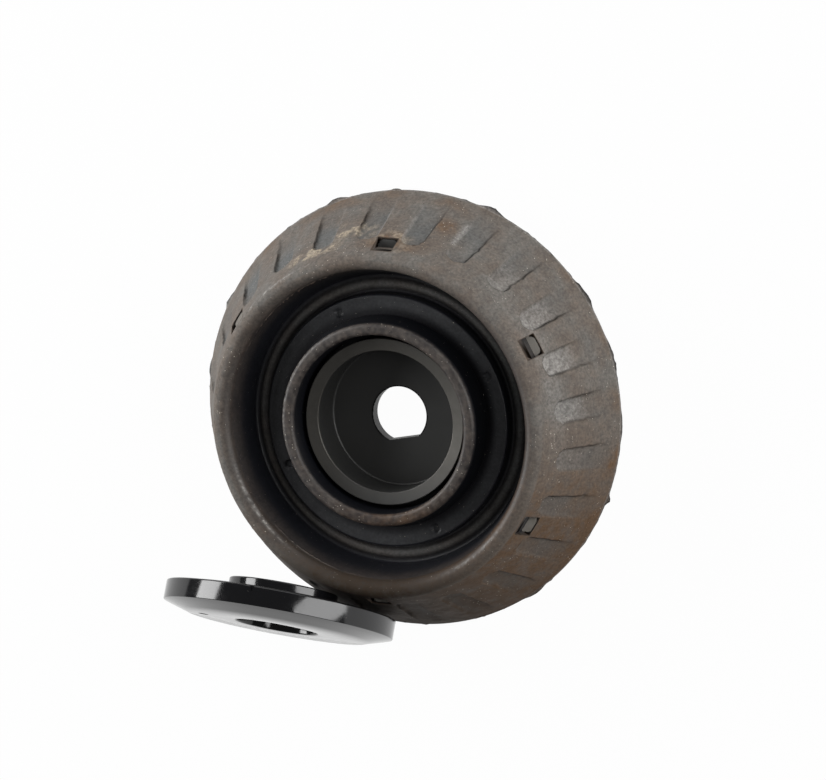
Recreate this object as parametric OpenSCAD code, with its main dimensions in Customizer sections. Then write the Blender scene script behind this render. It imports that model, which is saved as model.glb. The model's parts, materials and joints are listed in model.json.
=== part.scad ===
// Strut mount: a fluted rubber cone moulded round a steel armature and a
// steel rod cup, with its thrust bearing taken off and leaning on the flank.
// Heights are measured from the underside of the rubber body, in millimetres.

/* [Rubber body] */
// Radius of the wide parting edge
edge_r = 55.5; // [53:0.5:60]
// Height of the wide edge above the underside
edge_h = 5; // [4:0.5:7]
// How far the underside's rim lies inside the wide edge
base_undercut = 2.1; // [1.2:0.1:3]
// Height of the crest of the rim
body_h = 32.6; // [31:0.2:36]
// Angle of the flank from the mount's axis, in degrees
flank_angle = 23.8; // [22:0.2:25]
// Rounding of the rim
rim_round = 2.4; // [1.8:0.1:2.8]

/* [Groove and web] */
// Height of the floor of the annular groove
groove_h = 20; // [18:0.2:21]
// How far the middle of the groove's floor lies inside the rim's inner edge
groove_draft = 3.2; // [2.4:0.1:4]
// Rounding of the groove's floor
groove_round = 0.8; // [0.6:0.1:1]
// Rounding of the bead that stands in the groove
bead_round = 1.5; // [1.2:0.1:1.7]
// Rounding of the narrow channel inside the bead
channel_round = 0.6; // [0.5:0.1:0.8]
// Angle at which groove, bead and channel run into each other, in degrees
bead_swing = 37; // [30:1:45]
// Height of the web inside the channel
web_h = 23.8; // [23:0.2:25]
// Rounding of the web's outer corner
web_round = 0.5; // [0.3:0.1:0.8]
// Radius of the four pin marks in the web
pin_mark_r = 1.2; // [0.8:0.1:1.4]
// Depth of the pin marks
pin_mark_depth = 0.7; // [0.4:0.1:1.2]
// Direction of the first pin mark, in degrees
pin_mark_start = 24; // [0:1:90]

/* [Rebound ring] */
// Height of the crest of the rebound ring
rebound_h = 30.8; // [29:0.2:32]
// Width of the ring's crest
rebound_w = 3.1; // [2.6:0.1:3.6]
// Rounding of the crest's two edges
rebound_round = 0.7; // [0.4:0.1:1]
// How far the ring's inner wall leans back above the slit
rebound_draft = 0.3; // [0.1:0.1:0.8]
// How far the ring's foot on the web lies outside its crest
rebound_flare = 1.2; // [0.8:0.1:1.8]

/* [Flutes] */
// Number of flutes round the flank
flute_count = 24; // [20:1:26]
// Direction of the first flute, in degrees
flute_start = 4.5; // [0:0.5:14.5]
// Depth of a flute's floor below the flank, at its upper end
flute_depth = 0.75; // [0.5:0.05:0.85]
// Height above the wide edge at which that floor runs out into the flank
flute_land = 1.5; // [0.5:0.1:3]
// Depth to which a flute's hollow would reach without that floor
flute_sink = 1.05; // [0.95:0.05:1.2]
// Radius of a flute's hollow at its upper end
flute_top_r = 4.6; // [4:0.1:5]
// Radius of a flute's hollow at the wide edge
flute_edge_r = 6.4; // [5.6:0.1:7]
// Distance from the rim's crest down to the centre of a flute's rounded end
flute_drop = 9; // [8:0.2:12]

/* [Windows] */
// Number of windows down to the armature
window_count = 6; // [4:1:6]
// Width of a window along the flank
window_w = 5.5; // [4.5:0.1:6]
// Depth of a window's inner wall behind the flank, at the tab
window_depth = 2.5; // [2:0.1:3]
// Open seam left round each armature tab
tab_seam = 0.3; // [0.2:0.05:0.4]
// Depth of that seam
tab_seam_depth = 0.8; // [0.5:0.1:1.2]

/* [Armature] */
// Thickness of the armature's sheet
armature_t = 2.5; // [2:0.1:3]
// Distance from the rim's crest down to the top of the tabs
tab_drop = 7.6; // [7:0.1:8.4]
// Distance from a tab's end to the flank, level with its top
tab_cover = 0.5; // [0.4:0.05:0.8]
// Rounding of a tab's outer corners
tab_round = 1.3; // [0.8:0.1:1.6]
// Distance from the upper flange's edge to the flank
flange_cover = 1.7; // [1.2:0.1:2.2]
// Distance from the armature's wall to the flank, below the flange
wall_cover = 3.9; // [3.2:0.1:4.4]
// Distance from the armature's foot to the wide edge's radius
foot_cover = 8; // [6.5:0.1:9]
// Width of rubber between the recess and the armature's foot
foot_lip = 1.4; // [1:0.1:2]

/* [Rod cup] */
// Outer radius of the cup
cup_r = 21.2; // [20.6:0.1:21.8]
// Wall thickness of the cup
cup_wall = 3.2; // [2.6:0.1:3.6]
// Height of the cup's underside above the mount's underside
cup_h = 11.9; // [11:0.1:12.6]
// Thickness of the cup's floor
cup_floor = 3.2; // [2.6:0.1:3.8]
// Height of the cup's rim above its own underside
cup_depth = 13.8; // [13:0.1:14.4]
// Rounding between the cup's floor and its wall
cup_fillet = 0.5; // [0.3:0.1:1]
// Rounding of the cup's lower outside corner
cup_corner = 2.4; // [1.8:0.1:3]
// Rounding of the cup's rim
cup_rim_round = 0.3; // [0.2:0.1:0.6]
// How far the rim dips from its outer edge to its inner edge
cup_rim_dip = 0.5; // [0.2:0.1:0.9]
// Radius of the rod's hole
rod_hole_r = 7.2; // [6.6:0.1:8]
// Distance of the hole's flat from its centre
rod_flat = 6; // [5.6:0.05:6.4]
// Turn of that flat about the mount's axis, in degrees
rod_turn = 9; // [0:1:45]
// Chamfer round the hole's upper edge
rod_chamfer = 0.3; // [0.2:0.1:0.5]
// Width of the open slit between cup and rebound ring
slit_w = 1.2; // [0.9:0.1:1.5]
// Height of the slit's floor above the cup's underside
slit_floor = 7.6; // [6.4:0.1:8.4]

/* [Bearing caps] */
// Outer radius of the lower cap
cap_r = 29.3; // [28.6:0.1:30]
// Height of the cone between the lower cap's underside and its wall
cap_cone_h = 2; // [1.4:0.1:2.6]
// Radius of the flat of the lower cap's underside
cap_flat_r = 23.1; // [22:0.1:24.5]
// Wall thickness of the lower cap
cap_wall = 3.4; // [3:0.1:3.8]
// Thickness of the lower cap's floor
cap_floor = 1.8; // [1.6:0.1:2.2]
// Radius of the bearing's bore
bearing_bore_r = 10.5; // [10:0.1:11]
// Thickness of the hub wall round that bore
hub_wall = 1.6; // [1.3:0.1:1.9]
// Thickness of the upper cap's disc
disc_t = 2.1; // [1.8:0.1:2.6]
// Height that the disc stands proud of the lower cap
cap_step = 0.5; // [0.3:0.1:0.8]
// Radius of the collar on the upper cap
collar_r = 13.9; // [13.4:0.1:14.4]
// Height of the collar
collar_h = 3; // [2.4:0.1:3.6]
// Radial room for the collar in the mount's recess
collar_room = 1.1; // [0.6:0.1:1.6]
// Rounding of the caps' corners
cap_round = 0.4; // [0.2:0.1:0.6]
// Running gap between the two caps
cap_gap = 0.35; // [0.25:0.05:0.5]
// Radial relief of the upper cap's bore, so that only the hub guides the rod
bore_relief = 0.8; // [0.5:0.1:1.2]
// Direction of the index notch in the lower cap's wall, in degrees
notch_angle = 5; // [0:1:359]
// Width of that notch
notch_w = 1.2; // [0.8:0.1:1.6]
// Height of that notch
notch_h = 1.5; // [1:0.1:2]
// Radial depth of that notch
notch_depth = 0.5; // [0.3:0.1:0.7]
// Direction of the mould's gate mark in the lower cap's underside, in degrees
gate_angle = -70; // [-180:1:180]
// Distance of that mark from the bearing's axis
gate_circle_r = 18.7; // [17:0.1:20]
// Radius of that mark
gate_r = 1.3; // [1:0.1:1.6]
// Depth of that mark
gate_depth = 0.5; // [0.3:0.1:0.7]

/* [Bearing races and balls] */
// Distance from the lower cap's outside to the ball circle
ball_inset = 10.3; // [9.9:0.1:10.7]
// Radius of a ball
ball_r = 1.25; // [1.1:0.05:1.35]
// Number of balls
ball_count = 24; // [18:1:26]
// Running gap between a ball and each race
ball_play = 0.03; // [0.02:0.01:0.05]
// Thickness of a race
race_t = 0.8; // [0.7:0.05:0.9]
// Width of a race
race_w = 8; // [7:0.1:9]
// Depth of the ball track in a race
track_depth = 0.3; // [0.2:0.05:0.4]
// Thickness of the ball cage
cage_t = 1; // [0.8:0.1:1.2]
// Width of the ball cage
cage_w = 5; // [4.4:0.1:6]
// Gap between a ball and its pocket in the cage
pocket_gap = 0.12; // [0.08:0.02:0.2]

/* [Place of the bearing] */
// Direction that the bearing's underside faces, in degrees
lean_direction = 264; // [256:1:268]
// How far its underside is tipped upwards, in degrees
lean_angle = 19.1; // [17:0.1:24]
// How far the bearing's centre lies to the left of the mount's axis
lean_shift = 23.7; // [18:0.1:25]
// Gap between the bearing and the flank where they are closest
lean_gap = 0.3; // [0.2:0.05:0.5]

/* [Hidden] */
$fn = 96;
// Straight steps in one rounding
arc_steps = 8;
// Overshoot of a cutting shape past the surface that it opens
cut_over = 1;

function ball_name(i) = str("ball_", i < 10 ? "0" : "", i);
function direction(angle) = [cos(angle), sin(angle)];
function arc(centre, radius, from, to) =
    [for (i = [0 : arc_steps]) centre + radius * direction(from + (to - from) * i / arc_steps)];

// The flank is the line r * cos(flank_angle) + h * sin(flank_angle) = flank_k
flank_k = edge_r * cos(flank_angle) + edge_h * sin(flank_angle);
function flank_r(h) = (flank_k - h * sin(flank_angle)) / cos(flank_angle);

// The rim is a round that runs into the flank
rim_h = body_h - rim_round;
rim_centre = [flank_r(rim_h) - rim_round / cos(flank_angle), rim_h];

// Groove, bead and channel are rounds that run into each other
groove_centre = [rim_centre[0] - rim_round - groove_draft, groove_h + groove_round];
bead_centre = groove_centre + (groove_round + bead_round) * direction(180 + bead_swing);
channel_centre = bead_centre + (bead_round + channel_round) * direction(180 - bead_swing);
web_r = channel_centre[0] - channel_round;
web_corner_centre = [web_r - web_round, web_h - web_round];

// Slit and rebound ring
slit_r = cup_r + slit_w;
slit_h = cup_h + slit_floor;
slit_mouth_h = cup_h + cup_depth;
rebound_in_r = slit_r + rebound_draft;
rebound_out_r = rebound_in_r + rebound_w;
rebound_foot_r = rebound_out_r + rebound_flare;
rebound_round_h = rebound_h - rebound_round;
pin_mark_count = 4;
pin_mark_circle_r = (rebound_foot_r + web_r) / 2;

// Armature and windows
tab_h = body_h - tab_drop;
tab_r = flank_r(tab_h) - tab_cover;
flange_r = flank_r(tab_h) - flange_cover;
wall_top_r = flank_r(tab_h) - wall_cover;
foot_r = edge_r - foot_cover;
wall_slope = (foot_r - wall_top_r) / (tab_h - armature_t);
wall_across = armature_t * sqrt(1 + wall_slope * wall_slope);
function armature_wall_r(h) = foot_r - wall_slope * h;
recess_r = collar_r + collar_room;
foot_hole_r = recess_r + foot_lip;
window_r = flank_r(tab_h) - window_depth;
flute_pitch = 360 / flute_count;
window_start = flute_start + 1.5 * flute_pitch;

// Flutes
flute_top_h = body_h - flute_drop;
flute_length = (flute_top_h - edge_h) / cos(flank_angle);
flute_spread = atan((flute_edge_r - flute_top_r) / flute_length);

// The flutes' floors lie on one cone, which meets the flank where they run out
flute_end_h = edge_h + flute_land;
flute_floor_slope = (flank_r(flute_end_h) - flank_r(flute_top_h) + flute_depth / cos(flank_angle))
    / (flute_top_h - flute_end_h);
function flute_floor_r(h) = flank_r(flute_end_h) - flute_floor_slope * (h - flute_end_h);

// Rod cup, with heights above its own underside
cup_in_r = cup_r - cup_wall;
cup_lip_h = cup_depth - cup_rim_dip;

// Bearing, with heights above the flat of the lower cap's underside
cap_in_r = cap_r - cap_wall;
upper_cap_r = cap_in_r - cap_gap;
hub_r = bearing_bore_r + hub_wall;
upper_bore_r = bearing_bore_r + bore_relief;
ball_circle_r = cap_r - ball_inset;
ball_h = cap_floor + race_t - track_depth + ball_play + ball_r;
upper_race_h = ball_h + ball_r + ball_play - track_depth;
disc_h = upper_race_h + race_t;
hub_h = disc_h - cap_gap;
disc_top_h = disc_h + disc_t;
cap_h = disc_top_h - cap_step;
bearing_h = disc_top_h + collar_h;

// The lower cap's rounded edge stands on the floor
lean_lift = (cap_r - cap_round) * cos(lean_angle) + (cap_h - cap_round) * sin(lean_angle) + cap_round;
// The bearing is pushed towards the mount until one of its edges is a gap away from the flank
function lean_h(edge, turn) = lean_lift + edge[0] * cos(turn) * cos(lean_angle) - edge[1] * sin(lean_angle);
function lean_side(edge, turn) = edge[0] * sin(turn) - lean_shift;
function lean_room(h) = (h > edge_h ? flank_r(h) : edge_r) + lean_gap / cos(flank_angle);
function lean_chord(room, side) = room > abs(side) ? sqrt(room * room - side * side) : 0;
function lean_need(edge, turn) =
    lean_chord(lean_room(lean_h(edge, turn)), lean_side(edge, turn))
    + edge[0] * cos(turn) * sin(lean_angle) + edge[1] * cos(lean_angle);
lean_edges = [[cap_r, cap_h], [upper_cap_r, disc_top_h], [collar_r, bearing_h]];
lean_reach = max([for (edge = lean_edges, turn = [0 : 2 : 358]) lean_need(edge, turn)]);

// The part's origin lies on the mount's axis, level with the underside of the rod cup
module from_underside() {
    translate([0, 0, -cup_h])
        children();
}

// The bearing's own axis points at the mount, and its own X axis up the slope
module at_bearing() {
    from_underside()
        rotate([0, 0, lean_direction])
            translate([lean_reach, -lean_shift, lean_lift])
                rotate([0, -90 - lean_angle, 0])
                    children();
}

module around(count, start) {
    for (i = [0 : count - 1])
        rotate([0, 0, start + i * 360 / count])
            children();
}

module rubber_section() {
    polygon(concat(
        [[recess_r, 0], [edge_r - base_undercut, 0], [edge_r, edge_h]],
        arc(rim_centre, rim_round, flank_angle, 180),
        arc(groove_centre, groove_round, 0, bead_swing - 180),
        arc(bead_centre, bead_round, bead_swing, 180 - bead_swing),
        arc(channel_centre, channel_round, -bead_swing, -180),
        arc(web_corner_centre, web_round, 0, 90),
        [[rebound_foot_r, web_h]],
        arc([rebound_out_r - rebound_round, rebound_round_h], rebound_round, 0, 90),
        arc([rebound_in_r + rebound_round, rebound_round_h], rebound_round, 90, 180),
        [[slit_r, slit_mouth_h], [slit_r, slit_h], [cup_r, slit_h]],
        arc([cup_r - cup_corner, cup_h + cup_corner], cup_corner, 0, -90),
        [[recess_r, cup_h]]
    ));
}

// A hollow that widens down the flank, with a ball end
module flute_hollow() {
    translate([flank_r(flute_top_h), 0, flute_top_h])
        rotate([0, 180 - flank_angle, 0])
            translate([flute_sink - flute_top_r, 0, 0])
                rotate([0, -flute_spread, 0]) {
                    sphere(r = flute_top_r);
                    cylinder(h = 2 * flute_length, r1 = flute_top_r, r2 = 2 * flute_edge_r - flute_top_r);
                }
}

// All flutes, with the cone of their floors left standing
module flutes() {
    difference() {
        around(flute_count, flute_start)
            flute_hollow();
        translate([0, 0, -edge_r])
            cylinder(h = edge_r + body_h, r1 = flute_floor_r(-edge_r), r2 = flute_floor_r(body_h));
    }
}

// Outline of an armature tab seen along the axis, grown all round by gap
module tab_outline(gap) {
    half_w = window_w / 2 - tab_seam + gap;
    end_r = tab_r + gap;
    corner_r = end_r - tab_round;
    translate([window_r, -half_w])
        square([corner_r - window_r, 2 * half_w]);
    translate([window_r, tab_round - half_w])
        square([end_r - window_r, 2 * (half_w - tab_round)]);
    for (side = [-1, 1])
        translate([corner_r, side * (half_w - tab_round)])
            circle(r = tab_round);
}

module window() {
    translate([0, 0, tab_h])
        linear_extrude(body_h)
            translate([window_r, -window_w / 2])
                square([edge_r - window_r, window_w]);
    translate([0, 0, tab_h - tab_seam_depth])
        linear_extrude(tab_seam_depth + cut_over)
            tab_outline(tab_seam);
}

module armature_solid() {
    flange_h = tab_h - armature_t;
    rotate_extrude()
        polygon([
            [foot_hole_r, 0], [foot_r, 0],
            [wall_top_r, flange_h], [flange_r, flange_h], [flange_r, tab_h],
            [armature_wall_r(tab_h) - wall_across, tab_h],
            [armature_wall_r(armature_t) - wall_across, armature_t],
            [foot_hole_r, armature_t]
        ]);
    around(window_count, window_start)
        translate([0, 0, flange_h])
            linear_extrude(armature_t)
                tab_outline(0);
}

module rod_hole() {
    intersection() {
        union() {
            translate([0, 0, -cut_over])
                cylinder(h = cup_floor + 2 * cut_over, r = rod_hole_r);
            translate([0, 0, cup_floor - rod_chamfer])
                cylinder(h = rod_chamfer, r1 = rod_hole_r, r2 = rod_hole_r + rod_chamfer);
        }
        translate([-2 * rod_hole_r, -rod_flat, -cut_over])
            cube([4 * rod_hole_r, 4 * rod_hole_r, cup_floor + 2 * cut_over]);
    }
}

module rubber_body() {
    color("#3b3733")
        from_underside()
            difference() {
                rotate_extrude()
                    rubber_section();
                armature_solid();
                flutes();
                around(window_count, window_start)
                    window();
                around(pin_mark_count, pin_mark_start)
                    translate([pin_mark_circle_r, 0, web_h - pin_mark_depth])
                        cylinder(h = pin_mark_depth + cut_over, r = pin_mark_r);
            }
}

module armature() {
    color("#8b8780")
        from_underside()
            armature_solid();
}

module rod_cup() {
    color("#55565a")
        difference() {
            rotate_extrude()
                polygon(concat(
                    [[0, 0]],
                    arc([cup_r - cup_corner, cup_corner], cup_corner, -90, 0),
                    arc([cup_r - cup_rim_round, cup_depth - cup_rim_round], cup_rim_round, 0, 90),
                    arc([cup_in_r + cup_rim_round, cup_lip_h - cup_rim_round], cup_rim_round, 90, 180),
                    arc([cup_in_r - cup_fillet, cup_floor + cup_fillet], cup_fillet, 0, -90),
                    [[0, cup_floor]]
                ));
            rotate([0, 0, rod_turn])
                rod_hole();
        }
}

module lower_cap_turned() {
    rotate_extrude()
        polygon(concat(
            [[bearing_bore_r + cap_round, 0], [cap_flat_r, 0], [cap_r, cap_cone_h]],
            arc([cap_r - cap_round, cap_h - cap_round], cap_round, 0, 90),
            [[cap_in_r, cap_h], [cap_in_r, cap_floor], [hub_r, cap_floor]],
            [[hub_r, hub_h], [bearing_bore_r, hub_h], [bearing_bore_r, cap_round]]
        ));
}

// A pointed notch at the top of the lower cap's wall
module index_notch() {
    rotate([0, 0, notch_angle])
        translate([cap_r - notch_depth, 0, cap_h])
            rotate([90, 0, 90])
                linear_extrude(height = notch_depth + cut_over)
                    polygon([[0, -notch_h], [notch_w / 2, 0], [notch_w / 2, cut_over],
                             [-notch_w / 2, cut_over], [-notch_w / 2, 0]]);
}

module gate_mark() {
    rotate([0, 0, gate_angle])
        translate([gate_circle_r, 0, -cut_over])
            cylinder(h = cut_over + gate_depth, r = gate_r);
}

module lower_bearing_cap() {
    color("#17171a")
        at_bearing()
            difference() {
                lower_cap_turned();
                index_notch();
                gate_mark();
            }
}

module upper_bearing_cap() {
    color("#1c1c1f")
        at_bearing()
            rotate_extrude()
                polygon(concat(
                    [[upper_bore_r, disc_h], [upper_cap_r, disc_h]],
                    arc([upper_cap_r - cap_round, disc_top_h - cap_round], cap_round, 0, 90),
                    [[collar_r, disc_top_h]],
                    arc([collar_r - cap_round, bearing_h - cap_round], cap_round, 0, 90),
                    [[upper_bore_r + cap_round, bearing_h], [upper_bore_r, bearing_h - cap_round]]
                ));
}

// A flat washer from height h upwards, with the balls' track rolled into it
module race(h) {
    difference() {
        translate([0, 0, h])
            rotate_extrude()
                translate([ball_circle_r - race_w / 2, 0])
                    square([race_w, race_t]);
        translate([0, 0, ball_h])
            rotate_extrude()
                translate([ball_circle_r, 0])
                    circle(r = ball_r + ball_play);
    }
}

module lower_race() {
    color("#b9bbbd")
        at_bearing()
            race(cap_floor);
}

module upper_race() {
    color("#b9bbbd")
        at_bearing()
            race(upper_race_h);
}

module ball_cage() {
    color("#c9b98f")
        at_bearing()
            difference() {
                translate([0, 0, ball_h - cage_t / 2])
                    rotate_extrude()
                        translate([ball_circle_r - cage_w / 2, 0])
                            square([cage_w, cage_t]);
                around(ball_count, 0)
                    translate([ball_circle_r, 0, ball_h - cage_t])
                        cylinder(h = 2 * cage_t, r = ball_r + pocket_gap);
            }
}

module ball(i) {
    color("#d5d7d9")
        at_bearing()
            rotate([0, 0, (i - 1) * 360 / ball_count])
                translate([ball_circle_r, 0, ball_h])
                    sphere(r = ball_r);
}

rubber_body();
armature();
rod_cup();
lower_bearing_cap();
upper_bearing_cap();
lower_race();
upper_race();
ball_cage();
for (i = [1 : ball_count])
    ball(i);
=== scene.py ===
"""Looks of a strut mount: a fluted rubber cone with a steel armature, a rod cup and a thrust bearing."""

import json
import logging
import math
from dataclasses import dataclass
from enum import Enum
from typing import Any, ClassVar, Iterable, Sequence

import bpy
import numpy as np
from mathutils import Matrix, Vector, noise


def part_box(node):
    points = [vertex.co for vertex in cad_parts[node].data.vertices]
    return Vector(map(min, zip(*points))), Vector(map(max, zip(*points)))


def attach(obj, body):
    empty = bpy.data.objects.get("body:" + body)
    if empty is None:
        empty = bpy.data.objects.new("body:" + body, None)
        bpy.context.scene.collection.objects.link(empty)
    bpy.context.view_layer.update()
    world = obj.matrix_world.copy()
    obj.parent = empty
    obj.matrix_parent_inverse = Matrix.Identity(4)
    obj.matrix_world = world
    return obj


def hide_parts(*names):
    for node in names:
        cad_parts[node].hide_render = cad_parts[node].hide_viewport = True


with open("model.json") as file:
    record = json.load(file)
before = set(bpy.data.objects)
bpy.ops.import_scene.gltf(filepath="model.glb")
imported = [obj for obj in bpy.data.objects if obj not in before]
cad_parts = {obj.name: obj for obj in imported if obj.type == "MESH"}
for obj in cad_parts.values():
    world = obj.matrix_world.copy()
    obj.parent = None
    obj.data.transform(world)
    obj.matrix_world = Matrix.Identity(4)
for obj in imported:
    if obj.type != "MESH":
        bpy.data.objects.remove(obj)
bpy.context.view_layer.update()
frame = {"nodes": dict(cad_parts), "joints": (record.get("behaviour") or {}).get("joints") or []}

LOG = logging.getLogger("strut_mount")
MM = 0.001
# Points this close to a line of an outline, in millimetres, lie on it.
TOUCH = 0.01

Point = tuple[float, float]
Socket = bpy.types.NodeSocket


class Body(Enum):
    """The rigid bodies that modelled pieces ride on."""

    MOUNT = "mount"
    UPPER_HALF = "bearing_upper_half"


class Slot(Enum):
    """The record's material slots that modelled pieces take."""

    RUBBER = "moulded_rubber"
    CAP = "cap_plastic"


def linear(colour: str) -> tuple[float, float, float, float]:
    """Turns an sRGB hex colour into linear RGBA.

    Args:
        colour: A colour such as "#736a62".

    Returns:
        The linear red, green, blue and an alpha of 1.
    """
    parts = [int(colour[i:i + 2], 16) / 255 for i in (1, 3, 5)]
    red, green, blue = [c / 12.92 if c <= 0.04045 else ((c + 0.055) / 1.055) ** 2.4 for c in parts]
    return red, green, blue, 1.0


def per_mm(size: float) -> float:
    """Gives the texture scale of a pattern whose cells are size millimetres wide."""
    return 1.0 / (size * MM)


@dataclass
class Shader:
    """A node material while it is being built."""

    material: bpy.types.Material

    @classmethod
    def named(cls, name: str) -> "Shader":
        """Starts an empty material."""
        material = bpy.data.materials.new(name)
        material.use_nodes = True
        material.node_tree.nodes.clear()
        return cls(material)

    def add(self, kind: str, settings: dict[str, Any] | None = None,
            inputs: dict[str | int, Any] | None = None) -> Any:
        """Adds a node.

        Args:
            kind: The node's type name without its prefix.
            settings: Properties to set on the node.
            inputs: For each socket's name or number, a value to set or a socket to link from.

        Returns:
            The node's outputs.
        """
        tree = self.material.node_tree
        node = tree.nodes.new("ShaderNode" + kind)
        for name, value in (settings or {}).items():
            setattr(node, name, value)
        for key, value in (inputs or {}).items():
            if isinstance(value, Socket):
                tree.links.new(value, node.inputs[key])
            else:
                node.inputs[key].default_value = value
        return node.outputs

    def place(self) -> Socket:
        """Gives the object coordinates."""
        return self.add("TexCoord")["Object"]

    def layer(self, name: str) -> tuple[Socket, ...]:
        """Reads a stored layer and gives its red, green, blue and alpha."""
        stored = self.add("Attribute", {"attribute_name": name})
        parts = self.add("SeparateColor", inputs={"Color": stored["Color"]})
        return parts["Red"], parts["Green"], parts["Blue"], stored["Alpha"]

    def math(self, operation: str, *values: Any, clamp: bool = False) -> Socket:
        """Adds a calculation with numbers or sockets and gives its result."""
        return self.add("Math", {"operation": operation, "use_clamp": clamp}, dict(enumerate(values)))[0]

    def mapped(self, value: Socket, source: Point = (0.0, 1.0), target: Point = (0.0, 1.0)) -> Socket:
        """Maps one range onto another, held at its ends."""
        return self.add("MapRange", inputs={"Value": value, "From Min": source[0], "From Max": source[1],
                                            "To Min": target[0], "To Max": target[1]})["Result"]

    def mixed(self, share: Socket, first: Any, second: Any) -> Socket:
        """Mixes two colours and gives the result."""
        return self.add("MixRGB", inputs={"Fac": share, "Color1": first, "Color2": second})["Color"]

    def noise(self, place: Socket, size: float, detail: float, roughness: float = 0.5) -> Socket:
        """Adds a noise with blotches of size millimetres and gives its value."""
        return self.add("TexNoise", inputs={"Vector": place, "Scale": per_mm(size), "Detail": detail,
                                            "Roughness": roughness})["Fac"]

    def broken(self, mask: Socket, first: Socket, second: Socket, contrast: float) -> Socket:
        """Breaks up a mask with two noises.

        Args:
            mask: How much of the layer lies there, from 0 to 1.
            first: The coarser noise.
            second: The finer noise.
            contrast: How strongly the noises thin and thicken the layer.

        Returns:
            The broken mask, from 0 to 1.
        """
        swing = self.math("MULTIPLY_ADD", self.math("ADD", first, second), contrast, 1 - contrast)
        return self.math("MULTIPLY", mask, swing, clamp=True)

    def dots(self, place: Socket, size: float, gain: float, start: float, density: Any = 1.0) -> Socket:
        """Scatters small dots of uneven size.

        Args:
            place: The object coordinates.
            size: The distance between dots in millimetres.
            gain: How fast a dot grows with its cell's chance.
            start: The size of a dot whose chance is 0, negative for none.
            density: How much of the scatter shows there.

        Returns:
            The dots' mask.
        """
        cells = self.add("TexVoronoi", inputs={"Vector": place, "Scale": per_mm(size)})
        chance = self.add("SeparateColor", inputs={"Color": cells["Color"]})["Red"]
        reach = self.math("MULTIPLY", self.math("MULTIPLY_ADD", chance, gain, start, clamp=True), density)
        return self.math("LESS_THAN", cells["Distance"], reach)

    def bump(self, height: Socket, strength: float, depth: float, below: Socket | None = None) -> Socket:
        """Adds a relief of a depth in millimetres, on top of another one, and gives its normal."""
        inputs = {"Height": height, "Strength": strength, "Distance": depth * MM}
        if below is not None:
            inputs["Normal"] = below
        return self.add("Bump", inputs=inputs)["Normal"]

    def principled(self, inputs: dict[str | int, Any]) -> bpy.types.Material:
        """Closes the material with a principled surface and gives it."""
        return self.close(self.add("BsdfPrincipled", inputs=inputs)["BSDF"])

    def close(self, surface: Socket) -> bpy.types.Material:
        """Links a surface to the material's output and gives the material."""
        self.add("OutputMaterial", inputs={"Surface": surface})
        return self.material


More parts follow.
